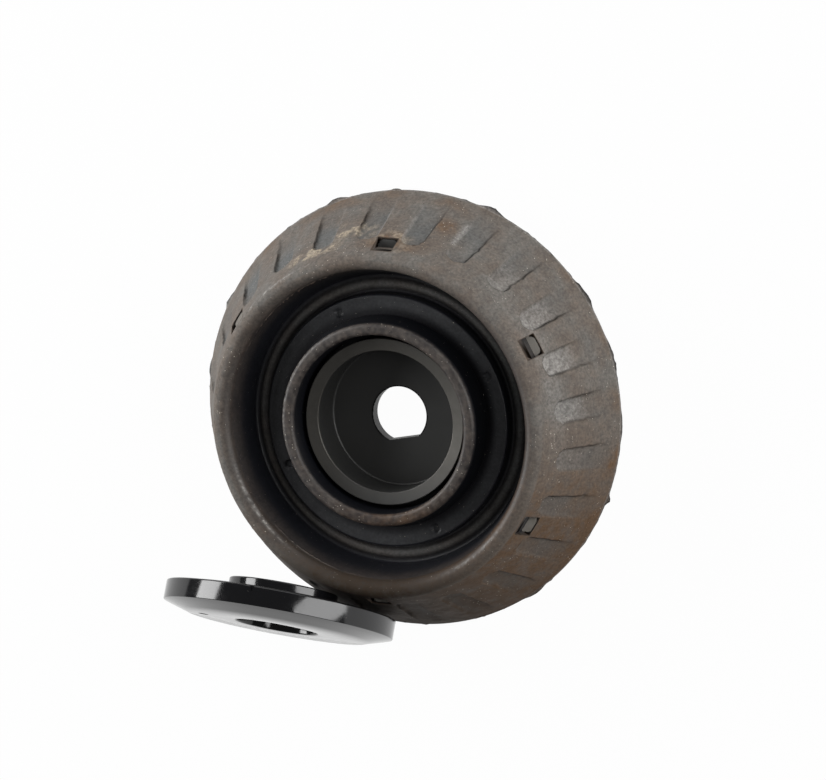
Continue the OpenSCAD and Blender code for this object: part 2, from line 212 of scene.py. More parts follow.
@dataclass(frozen=True)
class MouldedRubber:
    """Aged moulded rubber: near black where clean, matt grey-brown under dust, with clay crusts and grit, and
    with painted shade and painted highlights from its stored layers.
    """

    name: str = "aged_moulded_rubber"
    clean: str = "#18191e"
    dust: str = "#695f56"
    ash: str = "#67635e"
    brown: str = "#614a35"
    # The polished grey also paints light on the web and the bead, the pale colour also paints highlights, and
    # the pit colour also paints shade.
    polished: str = "#585a5a"
    pale: str = "#8a8783"
    clay: str = "#9d917f"
    grit: str = "#c9c1b4"
    pit_and_shade: str = "#2c2013"
    wear_layer: str = "wear"
    mark_layer: str = "marks"
    relief_layer: str = "relief"
    cloud_mm: float = 9.0
    mottle_mm: float = 2.6
    grain_mm: float = 0.7
    flake_mm: float = 1.1
    grit_mm: float = 0.62
    pit_mm: float = 2.1
    roughness: float = 0.6
    ash_range: Point = (0.38, 0.62)
    dust_contrast: float = 0.6
    tone_base: float = 0.12
    mottle_tone: float = 0.4
    grain_tone: float = 1.36
    shade_range: Point = (1.0, 0.12)
    matt_range: Point = (0.4, 0.85)
    sheen_range: Point = (0.45, 0.02)
    border_at: float = 0.53
    line_reach: float = 0.19
    no_line: float = 0.5
    grain_depth_mm: float = 0.05
    mottle_depth_mm: float = 0.12

    @classmethod
    def layers(cls) -> tuple[str, str, str]:
        """Gives the names of the stored layers that the material reads."""
        return cls.wear_layer, cls.mark_layer, cls.relief_layer

    def material(self) -> bpy.types.Material:
        """Builds the material.

        Returns:
            The rubber. Its wear layer holds dust, clay, brown and polish with painted light, its mark layer
            paleness with painted highlights, grit and soot with painted shade, its relief layer the flutes'
            border, the painted shade and highlight line along it and painted shade.
        """
        shader = Shader.named(self.name)
        place = shader.place()
        dust, clay, brown, polish_and_light = shader.layer(self.wear_layer)
        pale, grit, soot_and_shade, _ = shader.layer(self.mark_layer)
        border, side, shade, _ = shader.layer(self.relief_layer)
        noises = ((self.cloud_mm, 3.0), (self.mottle_mm, 5.0), (self.grain_mm, 3.0), (self.flake_mm, 4.0))
        cloud, mottle, grain, flake = [shader.noise(place, size, detail, self.roughness)
                                       for size, detail in noises]
        powder = shader.mixed(shader.mapped(cloud, self.ash_range), linear(self.dust), linear(self.ash))
        dusty = shader.broken(dust, cloud, mottle, self.dust_contrast)
        colour = shader.mixed(dusty, linear(self.clean), powder)
        # The soot coat paints shade as well as dirt, the polish coat paints light on the web and the bead,
        # and the pale coat paints highlights.
        coats = ((brown, cloud, mottle, 2.5, self.brown), (polish_and_light, cloud, mottle, 1.0, self.polished),
                 (pale, mottle, grain, 2.0, self.pale), (clay, flake, grain, 3.4, self.clay),
                 (soot_and_shade, mottle, grain, 1.0, self.pit_and_shade))
        for mask, coarse, fine, contrast, coat in coats:
            colour = shader.mixed(shader.broken(mask, coarse, fine, contrast), colour, linear(coat))
        # Painted shade and painted highlight lines along the flutes' borders.
        dark, lit = self.border_lines(shader, border, side)
        colour = shader.mixed(lit, colour, linear(self.pale))
        shade = shader.math("MAXIMUM", dark, shade)
        tone = shader.math("MULTIPLY_ADD", mottle, self.mottle_tone, self.tone_base)
        tone = shader.math("MULTIPLY_ADD", grain, self.grain_tone, tone)
        tone = shader.math("MULTIPLY", tone, shader.mapped(shade, target=self.shade_range))
        colour = shader.add("VectorMath", {"operation": "SCALE"}, {0: colour, "Scale": tone})[0]
        colour = shader.mixed(shader.dots(place, self.pit_mm, 0.5, -0.4, dust), colour, linear(self.pit_and_shade))
        colour = shader.mixed(shader.dots(place, self.grit_mm, 0.6, -0.34, grit), colour, linear(self.grit))
        rough = shader.mapped(shader.math("MAXIMUM", dusty, soot_and_shade), target=self.matt_range)
        uneven = shader.bump(mottle, 0.5, self.mottle_depth_mm)
        return shader.principled({"Base Color": colour, "Roughness": rough, "IOR": 1.5,
                                  "Specular IOR Level": shader.mapped(shade, target=self.sheen_range),
                                  "Normal": shader.bump(grain, 0.6, self.grain_depth_mm, uneven)})

    def border_lines(self, shader: Shader, border: Socket, side: Socket) -> tuple[Socket, Socket]:
        """Draws thin lines of painted shade and painted highlight along the flutes' borders.

        Args:
            shader: The material.
            border: The depth below the flank, with 0.5 on the border itself.
            side: The line's tone, from 0 for a pale one over 0.5 for none to 1 for a dark one.

        Returns:
            The masks of the painted shade lines and of the painted highlight lines.
        """
        off = shader.math("ABSOLUTE", shader.math("SUBTRACT", border, self.border_at))
        line = shader.mapped(off, (0.0, self.line_reach), (1.0, 0.0))
        dark, lit = [shader.math("MULTIPLY", line, shader.mapped(side, (self.no_line, full)))
                     for full in (1.0, 0.0)]
        return dark, lit


@dataclass(frozen=True)
class SheetSteel:
    """Pressed sheet steel: satin, with faint streaks and a film of dust that takes the shine off, darker
    below one height, and with painted shade beyond one distance along Y.
    """

    name: str
    bare: str
    film: str
    metallic: float
    smooth: float
    dull: float
    darker_below_mm: float = -1000.0
    shaded_beyond_mm: float = 1000.0
    shaded_way: float = 1.0
    soot_and_shade: str = "#484847"
    darker_fade_mm: float = 0.5
    shade_fade_mm: float = 12.0
    streak_mm: float = 1.2
    streak_depth_mm: float = 0.03
    cloud_mm: float = 5.0
    film_range: Point = (0.35, 0.75)
    dull_range: Point = (0.3, 0.7)

    def material(self) -> bpy.types.Material:
        """Builds the material.

        Returns:
            The steel.
        """
        shader = Shader.named(self.name)
        place = shader.place()
        cloud = shader.noise(place, self.cloud_mm, 6.0, 0.65)
        streak = shader.noise(place, self.streak_mm, 3.0)
        film = shader.mapped(cloud, self.film_range)
        colour = shader.mixed(film, linear(self.bare), linear(self.film))
        axes = shader.add("SeparateXYZ", inputs={"Vector": place})
        dark_from, shaded_from = self.darker_below_mm, self.shaded_beyond_mm
        above = shader.mapped(axes["Z"], ((dark_from - self.darker_fade_mm) * MM, dark_from * MM))
        beyond = shader.math("MULTIPLY", axes["Y"], self.shaded_way)
        near = shader.mapped(beyond, (shaded_from * MM, (shaded_from - self.shade_fade_mm) * MM))
        # Painted shade beyond a set distance along Y, in the set direction, and darker steel below a set
        # height, both in the dark colour.
        colour = shader.mixed(shader.math("MINIMUM", above, near), linear(self.soot_and_shade), colour)
        rough = shader.mapped(cloud, self.dull_range, (self.smooth, self.dull))
        return shader.principled({"Base Color": colour, "Roughness": rough, "Metallic": self.metallic,
                                  "Normal": shader.bump(streak, 0.25, self.streak_depth_mm)})


@dataclass(frozen=True)
class GlossPlastic:
    """Injection-moulded black polyamide: glossy, with hair scratches and a few grains of dust."""

    name: str = "glossy_black_polyamide"
    colour: str = "#0e0e10"
    dust: str = "#8d8982"
    grain_mm: float = 0.9
    scratch_mm: float = 2.4
    scratch_depth_mm: float = 0.02
    scratch_range: Point = (0.35, 0.75)
    gloss_range: Point = (0.08, 0.17)

    def material(self) -> bpy.types.Material:
        """Builds the material.

        Returns:
            The plastic.
        """
        shader = Shader.named(self.name)
        place = shader.place()
        wave = shader.noise(place, self.scratch_mm, 5.0, 0.7)
        grains = shader.dots(place, self.grain_mm, 0.6, -0.5)
        return shader.principled({"Base Color": shader.mixed(grains, linear(self.colour), linear(self.dust)),
                                  "Roughness": shader.mapped(wave, self.scratch_range, self.gloss_range),
                                  "IOR": 1.53, "Normal": shader.bump(wave, 0.06, self.scratch_depth_mm)})


@dataclass(frozen=True)
class StudioFloor:
    """White studio paper, which shows as white and still takes the object's shadow."""

    name: str = "white_studio_paper"
    colour: str = "#d8d8d8"
    glow_share: float = 0.975

    def material(self) -> bpy.types.Material:
        """Builds the material.

        Returns:
            The paper.
        """
        shader = Shader.named(self.name)
        path = shader.add("LightPath")
        seen = shader.math("MAXIMUM", path["Is Camera Ray"], path["Is Glossy Ray"])
        seen = shader.math("MAXIMUM", seen, path["Is Transmission Ray"])
        share = shader.math("MULTIPLY", seen, self.glow_share)
        paper = shader.add("BsdfDiffuse", inputs={"Color": linear(self.colour)})[0]
        glow = shader.add("Emission", inputs={"Strength": 1.0})[0]
        return shader.close(shader.add("MixShader", inputs={0: share, 1: paper, 2: glow})[0])


def deselect_all() -> None:
    """Leaves edit mode and clears the selection."""
    if bpy.context.object and bpy.context.object.mode != "OBJECT":
        bpy.ops.object.mode_set(mode="OBJECT")
    bpy.ops.object.select_all(action="DESELECT")


def make_active(piece: bpy.types.Object) -> None:
    """Selects one piece alone and makes it the active one."""
    deselect_all()
    piece.select_set(True)
    bpy.context.view_layer.objects.active = piece


def coordinates(mesh: bpy.types.Mesh) -> np.ndarray:
    """Reads a mesh's points as rows of x, y and z in metres."""
    flat = np.empty(len(mesh.vertices) * 3)
    mesh.vertices.foreach_get("co", flat)
    return flat.reshape(-1, 3)


def set_coordinates(mesh: bpy.types.Mesh, points: np.ndarray) -> None:
    """Writes a mesh's points back."""
    mesh.vertices.foreach_set("co", np.ascontiguousarray(points).ravel())
    mesh.update()


def arc(centre: Point, radius: float, start: float, end: float, steps: int) -> list[Point]:
    """Gives points along a round stretch of an outline.

    Args:
        centre: The round's centre.
        radius: Its radius.
        start: The angle of its first point, in degrees.
        end: The angle of its last point.
        steps: How many straight steps it is drawn with.

    Returns:
        steps + 1 points.
    """
    turns = [math.radians(start + (end - start) * i / steps) for i in range(steps + 1)]
    return [(centre[0] + radius * math.cos(a), centre[1] + radius * math.sin(a)) for a in turns]


def stretch(first: Point, last: Point, step: float) -> list[Point]:
    """Gives points along a straight stretch, without its last point.

    Args:
        first: Where it starts.
        last: Where it ends.
        step: The longest distance between points.

    Returns:
        The points.
    """
    count = max(1, math.ceil(math.dist(first, last) / step))
    return [(first[0] + (last[0] - first[0]) * i / count, first[1] + (last[1] - first[1]) * i / count)
            for i in range(count)]


def spun(name: str, outline: Sequence[Point], steps: int) -> bpy.types.Object:
    """Turns a closed outline of radius and height, in millimetres, about the Z axis.

    Args:
        name: The piece's name.
        outline: The outline's points.
        steps: How many steps make the turn.

    Returns:
        The turned piece, at the origin.
    """
    deselect_all()
    bpy.ops.mesh.primitive_circle_add(vertices=len(outline), radius=MM)
    piece = bpy.context.object
    piece.name = piece.data.name = name
    set_coordinates(piece.data, np.array([(r * MM, 0.0, h * MM) for r, h in outline]))
    bpy.ops.object.mode_set(mode="EDIT")
    bpy.ops.mesh.select_all(action="SELECT")
    bpy.ops.mesh.spin(steps=steps, angle=2 * math.pi, center=(0, 0, 0), axis=(0, 0, 1))
    bpy.ops.mesh.select_all(action="SELECT")
    bpy.ops.mesh.remove_doubles(threshold=1e-6)
    bpy.ops.mesh.normals_make_consistent(inside=False)
    bpy.ops.object.mode_set(mode="OBJECT")
    return piece


def cut_away(piece: bpy.types.Object, cutters: list[bpy.types.Object]) -> None:
    """Cuts blocks out of a piece and removes them.

    Args:
        piece: The piece that is cut.
        cutters: The blocks, which don't touch each other.
    """
    make_active(cutters[0])
    for cutter in cutters[1:]:
        cutter.select_set(True)
    if len(cutters) > 1:
        bpy.ops.object.join()
    make_active(piece)
    cut = piece.modifiers.new("cut", "BOOLEAN")
    cut.operation = "DIFFERENCE"
    cut.solver = "EXACT"
    cut.object = cutters[0]
    bpy.ops.object.modifier_apply(modifier=cut.name)
    bpy.data.objects.remove(cutters[0])


def finish_piece(piece: bpy.types.Object, finish: bpy.types.Material, angle: float) -> None:
    """Gives a piece its material and smooth shading up to a crease angle in degrees."""
    piece.data.materials.clear()
    piece.data.materials.append(finish)
    make_active(piece)
    bpy.ops.object.shade_smooth_by_angle(angle=math.radians(angle))


def stand_for(piece: bpy.types.Object, node: str, body: Body) -> None:
    """Puts a modelled piece in the place of its solid."""
    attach(piece, body.value)
    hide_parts(node)
    LOG.info("%s stands for %s with %d faces", piece.name, node, len(piece.data.polygons))


def noise_at(points: np.ndarray, size: float, seed: float) -> np.ndarray:
    """Samples a smooth noise.

    Args:
        points: Rows of x, y and z in millimetres.
        size: The width of its blotches in millimetres.
        seed: An offset that makes each noise its own.

    Returns:
        A value from about -1 to 1 for each point.
    """
    scaled = points / size + seed
    return np.array([noise.noise(Vector(p)) for p in scaled])


def ramp(values: np.ndarray, low: float, high: float) -> np.ndarray:
    """Rises smoothly from 0 at low to 1 at high."""
    t = np.clip((values - low) / (high - low), 0.0, 1.0)
    return t * t * (3 - 2 * t)


@dataclass
class Skin:
    """The points of a turned body, in millimetres, with their place round its axis."""

    UP: ClassVar[np.ndarray] = np.array([0.0, 0.0, 1.0])
    points: np.ndarray
    radius: np.ndarray
    turn: np.ndarray
    height: np.ndarray
    outward: np.ndarray

    @classmethod
    def of(cls, mesh: bpy.types.Mesh) -> "Skin":
        """Reads a mesh's points."""
        points = coordinates(mesh) / MM
        radius = np.hypot(points[:, 0], points[:, 1])
        turn = np.degrees(np.arctan2(points[:, 1], points[:, 0]))
        outward = points * np.array([1.0, 1.0, 0.0]) / radius[:, None]
        return cls(points, radius, turn, points[:, 2].copy(), outward)

    def noise(self, size: float, seed: float) -> np.ndarray:
        """Samples a smooth noise at the points, with blotches of size millimetres."""
        return noise_at(self.points, size, seed)

    def near(self, turn: float, width: float, full: float = 0.0) -> np.ndarray:
        """Gives 1 within full degrees of a direction, falling smoothly to 0 at width degrees from it."""
        off = np.abs((self.turn - turn + 180) % 360 - 180)
        return 1 - ramp(off, full, width)

    def between(self, low: float, full: float, last: float, gone: float) -> np.ndarray:
        """Gives 1 at heights from full to last, falling smoothly to 0 at low and at gone."""
        return ramp(self.height, low, full) * (1 - ramp(self.height, last, gone))

    def leaning(self, angle: float) -> np.ndarray:
        """Gives the outward directions tipped up by an angle in degrees."""
        lean = math.radians(angle)
        return self.outward * math.cos(lean) + self.UP * math.sin(lean)


@dataclass
class Zones:
    """Which points lie on which part of the rubber body, with over as the place across the rim in degrees."""

    over: np.ndarray
    rim: np.ndarray
    outer: np.ndarray
    inner: np.ndarray
    base: np.ndarray
    edge_highlight: np.ndarray
    web: np.ndarray
    ring: np.ndarray
    ring_side: np.ndarray
    crest: np.ndarray
    from_foot: np.ndarray
    bead: np.ndarray


@dataclass
class Moulding:
    """What the mould left on a body's points."""

    border: np.ndarray
    side: np.ndarray
    in_flute: np.ndarray
    open_end: np.ndarray
    crust: np.ndarray
    flash: np.ndarray
    tear: np.ndarray


@dataclass
class RoadWear:
    """What use left on the rubber, with painted shade and painted highlights besides. A place is a direction
    in degrees and the width that it fades over.
    """

    RIGHT: ClassVar[Point] = (20, 60)
    LOW_RIGHT: ClassVar[Point] = (-50, 62)
    BOTTOM: ClassVar[Point] = (-90, 70)
    BROWN_BOTTOM: ClassVar[Point] = (-82, 40)
    BROWN_CREST: ClassVar[Point] = (-82, 55)
    SHADED_BOTTOM: ClassVar[Point] = (-98, 58)
    WIPED_RIM: ClassVar[Point] = (-15, 85)
    RIM_TOP_LIGHT: ClassVar[Point] = (90, 70)
    BY_WINDOW: ClassVar[Point] = (85, 17)
    SPOT: ClassVar[Point] = (73.3, 5)
    SPOT_H: ClassVar[float] = 16.3
    SPOT_REACH: ClassVar[float] = 2.6
    BEAD_HIGHLIGHT: ClassVar[Point] = (5, 75)
    PALE_ENDS: ClassVar[Point] = (22, 50)
    PALE_LANDS: ClassVar[Point] = (15, 40)
    FLUTE_HIGHLIGHT: ClassVar[Point] = (68.3, 1.1)
    RING_HIGHLIGHT: ClassVar[Point] = (160, 75)
    GRITTY: ClassVar[Point] = (-8, 22)
    DEEP_FOOT: ClassVar[Point] = (15, 110)
    SOFT_LINES: ClassVar[Point] = (-60, 60)
    RIM_STREAKS: ClassVar[tuple[tuple[float, float, float], ...]] = (
        (130, 26, 40), (214, 28, 138), (-53, 24, 114))
    STREAK_W: ClassVar[float] = 9.0
    LIT_FROM_RIGHT: ClassVar[Point] = (2, 88)
    RIGHT_LAMP: ClassVar[float] = 8.0
    LEFT_LAMP: ClassVar[float] = 169.0
    skin: Skin
    zones: Zones
    mould: Moulding

    def dust(self) -> np.ndarray:
        """Gives road dust: thick outside, wiped off where the rim turns in but kept at the rim's top as
        painted light, thin on the crests inside, with a painted highlight on the bead.
        """
        skin, zones = self.skin, self.zones
        # Painted light: the rim's top keeps more dust where it turns in.
        wiped = 0.52 + 0.2 * skin.near(*self.WIPED_RIM) - 0.42 * skin.near(*self.RIM_TOP_LIGHT)
        wiped = wiped * ramp(zones.over, 50, 130) + 0.2 * ramp(zones.over, 125, 180)
        on_crest = 0.3 + 0.3 * skin.noise(1.1, 4.8) - 0.14 * skin.near(*self.BOTTOM)
        on_wall = 0.16 * ramp(skin.height, 24, 30)
        torn = np.minimum(2 * self.mould.tear, 1)
        # The bead's share is a painted highlight; the rest is dust.
        return (0.9 * zones.outer - wiped * zones.rim + 0.18 * zones.base + on_wall * zones.inner
                + on_crest * zones.crest + 0.46 * zones.bead + 0.03 * zones.web
                + 0.9 * self.mould.flash - 0.5 * torn)

    def brown(self) -> np.ndarray:
        """Gives brown road dirt: low on the right, along the wide edge, by one window and in one spot."""
        skin, zones, mould = self.skin, self.zones, self.mould
        by_edge = zones.outer * (1 - ramp(skin.height, 6.5, 11)) * ramp(skin.noise(9.0, 1.1), -0.2, 0.4)
        road = 0.95 * skin.near(*self.LOW_RIGHT) + 0.45 * by_edge
        road *= (1 - 0.4 * mould.in_flute) * (1 - 0.75 * zones.rim)
        spot = 0.9 * skin.near(*self.SPOT) * np.exp(-((skin.height - self.SPOT_H) / self.SPOT_REACH) ** 2)
        window = 0.75 * skin.near(*self.BY_WINDOW) * skin.between(21, 24.5, 28, 30.5)
        bottom = 0.35 * ~zones.rim * skin.near(*self.BROWN_BOTTOM)
        brown = zones.outer * (road + spot + window + bottom)
        brown += 0.12 * (zones.rim & (zones.over > 90)) + 0.06 * zones.inner * ramp(skin.height, 24, 29)
        brown += zones.crest * (0.06 + 0.3 * skin.near(*self.BROWN_CREST))
        return brown + 0.25 * mould.crust + 0.5 * mould.flash

    def polish_and_light(self) -> np.ndarray:
        """Gives the greyer, smoother rubber in the flutes, with painted light on the web away from the
        rebound ring's foot and a painted highlight on the bead, strongest on the right.
        """
        skin, zones = self.skin, self.zones
        flutes = 0.75 - 0.5 * skin.near(*self.RIGHT) - 0.4 * skin.near(*self.LOW_RIGHT)
        flutes *= self.mould.in_flute * ramp(skin.noise(10.0, 9.1), -0.7, 0.2)
        # Painted highlight on the bead, and painted light on the web's outer part.
        bead = 0.24 + 0.5 * skin.near(*self.BEAD_HIGHLIGHT)
        return flutes + 0.16 * zones.web * zones.from_foot + bead * zones.bead

    def pale(self) -> np.ndarray:
        """Gives pale marks on the flutes' ends and lands on the right, painted highlights on one flute's
        side, along the wide edge and on the ring's side, and streaks on the rim that are painted highlights
        with some scuffing.
        """
        skin, zones = self.skin, self.zones
        ends = 0.62 * self.mould.in_flute * ramp(skin.height, 14, 20.5) * skin.near(*self.PALE_ENDS)
        lands = 0.25 * skin.near(*self.PALE_LANDS) * ramp(skin.height, 22, 25)
        # Painted highlight on one flute's side, and a painted highlight band along the wide edge.
        flute_highlight = 0.9 * skin.near(*self.FLUTE_HIGHLIGHT) * skin.between(12, 14, 20.5, 22)
        outside = (ends + lands) * (1 - ramp(skin.height, 27, 30)) + flute_highlight + 0.5 * zones.edge_highlight
        # Streaks on the rim: painted highlights with some scuffing.
        streaks = sum(skin.near(turn, width) * np.exp(-((zones.over - place) / self.STREAK_W) ** 2)
                      for turn, width, place in self.RIM_STREAKS)
        streaks *= ramp(skin.noise(0.9, 6.6), -0.4, 0.3)
        # Painted highlight along the ring's outer crest edge.
        ring_highlight = np.exp(-((zones.ring_side + 0.35) / 0.3) ** 2) * zones.crest
        ring_highlight *= skin.near(*self.RING_HIGHLIGHT) * ramp(skin.noise(0.8, 3.4), -0.2, 0.5)
        return zones.outer * outside + zones.rim * streaks + 0.5 * ring_highlight

    def grit(self) -> np.ndarray:
        """Gives how densely pale grains lie."""
        tips = self.skin.near(*self.GRITTY) * self.skin.between(18, 23, 28, 31)
        outside = 0.35 + 0.4 * ramp(self.skin.noise(8.0, 7.7), -0.1, 0.5) + 0.6 * tips
        return np.where(self.zones.outer, outside, 0.35) + 0.4 * self.zones.crest + 0.6 * self.mould.flash

    def soot_and_shade(self) -> np.ndarray:
        """Gives the darker bottom of the flank, painted shade with some dirt."""
        return self.zones.outer * (0.95 * self.skin.near(*self.SHADED_BOTTOM) + 0.2 * self.skin.near(*self.LOW_RIGHT))

    def lines(self) -> np.ndarray:
        """Gives the tone of the lines along the flutes: painted shade on the side away from the lamps, a
        painted highlight on the side towards them.
        """
        skin = self.skin
        middle, reach = self.LIT_FROM_RIGHT
        lamp = np.where(np.abs(skin.turn - middle) < reach, self.RIGHT_LAMP, self.LEFT_LAMP)
        facing = self.mould.side * np.sin(np.radians(skin.turn - lamp))
        facing *= np.where(facing > 0, 1 - 0.7 * skin.near(*self.SOFT_LINES), 1)
        patchy = self.mould.open_end * ramp(skin.noise(7.0, 2.9), -0.9, 0.1)
        return MouldedRubber.no_line + patchy * np.clip(0.3 - 0.5 * facing, -0.35, 0.45)

    def shade(self) -> np.ndarray:
        """Gives the deep shade round the rebound ring's foot."""
        zones = self.zones
        below_crest = zones.ring & ~(zones.crest > 0)
        depth = 0.4 + 0.45 * self.skin.near(*self.DEEP_FOOT)
        return (zones.web | below_crest) * (1 - zones.from_foot) * depth

    def store(self, mesh: bpy.types.Mesh) -> None:
        """Stores the three layers that the rubber's material reads."""
        none = np.zeros(len(self.skin.points))
        layers = ((self.dust(), self.mould.crust, self.brown(), self.polish_and_light()),
                  (self.pale(), self.grit(), self.soot_and_shade(), none),
                  (0.5 + 0.5 * self.mould.border, self.lines(), self.shade(), none))
        for name, parts in zip(MouldedRubber.layers(), layers):
            layer = mesh.attributes.new(name, "FLOAT_COLOR", "POINT")
            values = np.clip(np.stack(parts, 1), 0, 1).astype(np.float32)
            layer.data.foreach_set("color", values.ravel())


@dataclass
class RubberBody:
    """The moulded rubber body. Sizes are in millimetres, and heights are above its underside."""

    edge_r: float = 55.5
    edge_h: float = 5.0
    edge_soft: float = 0.12
    base_undercut: float = 2.1
    body_h: float = 32.6
    flank_angle: float = 23.8
    rim_round: float = 2.4
    groove_h: float = 20.0
    groove_draft: float = 3.2
    groove_round: float = 0.8
    bead_round: float = 1.5
    channel_round: float = 0.6
    bead_swing: float = 37.0
    web_h: float = 23.8
    web_round: float = 0.5
    pin_mark_count: int = 4
    pin_mark_r: float = 1.2
    pin_mark_soft: float = 0.35
    pin_mark_depth: float = 0.7
    pin_mark_start: float = 24.0
    rebound_h: float = 30.8
    rebound_w: float = 3.1
    rebound_round: float = 1.1
    rebound_draft: float = 0.3
    rebound_flare: float = 1.2
    flute_count: int = 24
    flute_start: float = 4.5
    flute_depth: float = 0.75
    flute_land: float = 1.5
    flute_sink: float = 1.05
    flute_top_r: float = 4.6
    flute_edge_r: float = 6.4
    flute_drop: float = 9.0
    window_count: int = 6
    window_first: float = 1.5
    window_w: float = 5.5
    window_headroom: float = 3.0
    window_depth: float = 2.5
    tab_seam: float = 0.3
    tab_seam_depth: float = 0.8
    tab_drop: float = 7.6
    tab_cover: float = 0.5
    tab_round: float = 1.3
    armature_t: float = 2.5
    flange_cover: float = 1.7
    wall_cover: float = 3.9
    foot_cover: float = 8.0
    foot_lip: float = 1.4
    cup_r: float = 21.2
    cup_h: float = 11.9
    cup_depth: float = 13.8
    cup_corner: float = 2.4
    slit_w: float = 1.2
    slit_floor: float = 7.6
    recess_r: float = 15.0
    lump_mm: float = 6.0
    lump_rise: float = 0.16
    knob_mm: float = 1.9
    knob_rise: float = 0.07
    crust_rise: float = 0.25
    soft_wave: float = 0.05
    calm_h: Point = (27.0, 30.0)
    flute_half: float = 2.6
    wander_across: float = 0.4
    wander_end: float = 0.5
    uneven_end: float = 1.4
    uneven_run_out: float = 1.5
    border_soft: float = 0.18
    border_step: float = 0.42
    border_lip: float = 0.07
    border_lip_w: float = 0.12
    floor_share: float = 0.7
    off_flute: float = -9.0
    flash_reach: float = 0.6
    flash_step: float = 0.18
    flash_drop: float = 0.7
    untorn: Point = (250.0, 30.0)
    tatters: tuple[tuple[float, float, float], ...] = (
        (110.0, 3.6, 0.8), (93.0, 1.6, 0.4), (66.0, 4.4, 0.8), (33.0, 5.0, 0.7), (16.0, 6.0, 0.4),
        (-3.0, 5.0, 0.3), (-23.0, 1.6, 0.6), (-56.0, 4.0, 0.5), (152.0, 3.0, 0.5), (171.0, 3.0, 0.5))
    clay: tuple[tuple[float, float, float, tuple[float, ...]], ...] = (
        (0.55, 86.0, 9.0, (21.0, 24.5, 29.5, 31.0)), (1.0, 100.0, 9.0, (17.0, 20.0, 22.5, 25.0)),
        (1.0, 112.0, 13.0, (24.0, 25.5, 28.0, 29.5)))
    window_lip: float = 2.4
    window_round: float = 0.5
    lip_depth: float = 0.8
    cut_overlap: float = 0.4
    fine_step: float = 0.5
    web_step: float = 0.34
    base_step: float = 1.2
    wall_step: float = 0.9
    ring_step: float = 0.8
    slit_step: float = 1.6
    turn_steps: int = 480
    smooth_angle: float = 38.0

    def flank_r(self, height: float) -> float:
        """Gives the flank's radius at a height."""
        return self.edge_r - (height - self.edge_h) * math.tan(math.radians(self.flank_angle))

    @property
    def tab_h(self) -> float:
        """Height of the armature's tabs."""
        return self.body_h - self.tab_drop

    @property
    def rim_centre(self) -> Point:
        """Centre of the rim's round."""
        height = self.body_h - self.rim_round
        return self.flank_r(height) - self.rim_round / math.cos(math.radians(self.flank_angle)), height

    @property
    def groove_r(self) -> float:
        """Radius of the groove's lowest circle."""
        return self.rim_centre[0] - self.rim_round - self.groove_draft

    @property
    def bead_r(self) -> float:
        """Radius of the bead's crest."""
        return self.groove_r - (self.groove_round + self.bead_round) * math.cos(math.radians(self.bead_swing))

    @property
    def web_r(self) -> float:
        """Radius of the web."""
        step = (self.bead_round + self.channel_round) * math.cos(math.radians(self.bead_swing))
        return self.bead_r - step - self.channel_round

    @property
    def ring_in_r(self) -> float:
        """Inner radius of the rebound ring's crest."""
        return self.cup_r + self.slit_w + self.rebound_draft

    @property
    def ring_foot_r(self) -> float:
        """Radius of the rebound ring's foot on the web."""
        return self.ring_in_r + self.rebound_w + self.rebound_flare

    @property
    def flash_h(self) -> float:
        """Height of the mould's flash line on the groove's wall, just below the rim."""
        return self.rim_centre[1] - self.flash_drop

    def cavity(self) -> list[Point]:
        """Gives the outline of the hollow that the armature fills, from the recess to the underside's rim."""
        tab_r = self.flank_r(self.tab_h)
        wall_r = tab_r - self.wall_cover
        foot_r = self.edge_r - self.foot_cover
        flange_h = self.tab_h - self.armature_t
        slope = (foot_r - wall_r) / flange_h
        across = self.armature_t * math.sqrt(1 + slope * slope)
        hole_r = self.recess_r + self.foot_lip
        return [(self.recess_r, 0.0), (hole_r, 0.0), (hole_r, self.armature_t),
                (foot_r - slope * self.armature_t - across, self.armature_t),
                (foot_r - slope * self.tab_h - across, self.tab_h),
                (tab_r - self.flange_cover, self.tab_h), (tab_r - self.flange_cover, flange_h),
                (wall_r, flange_h), (foot_r, 0.0)]

    def outside(self) -> list[Point]:
        """Gives the outline from the underside's rim over the flank to the rim's inner edge."""
        base = (self.edge_r - self.base_undercut, 0.0)
        edge = (self.edge_r, self.edge_h)
        over_h = self.edge_h + self.edge_soft
        over_edge = (self.flank_r(over_h), over_h)
        rim = arc(self.rim_centre, self.rim_round, self.flank_angle, 180, 18)
        return [*stretch(base, edge, self.base_step), edge, *stretch(over_edge, rim[0], self.fine_step), *rim]

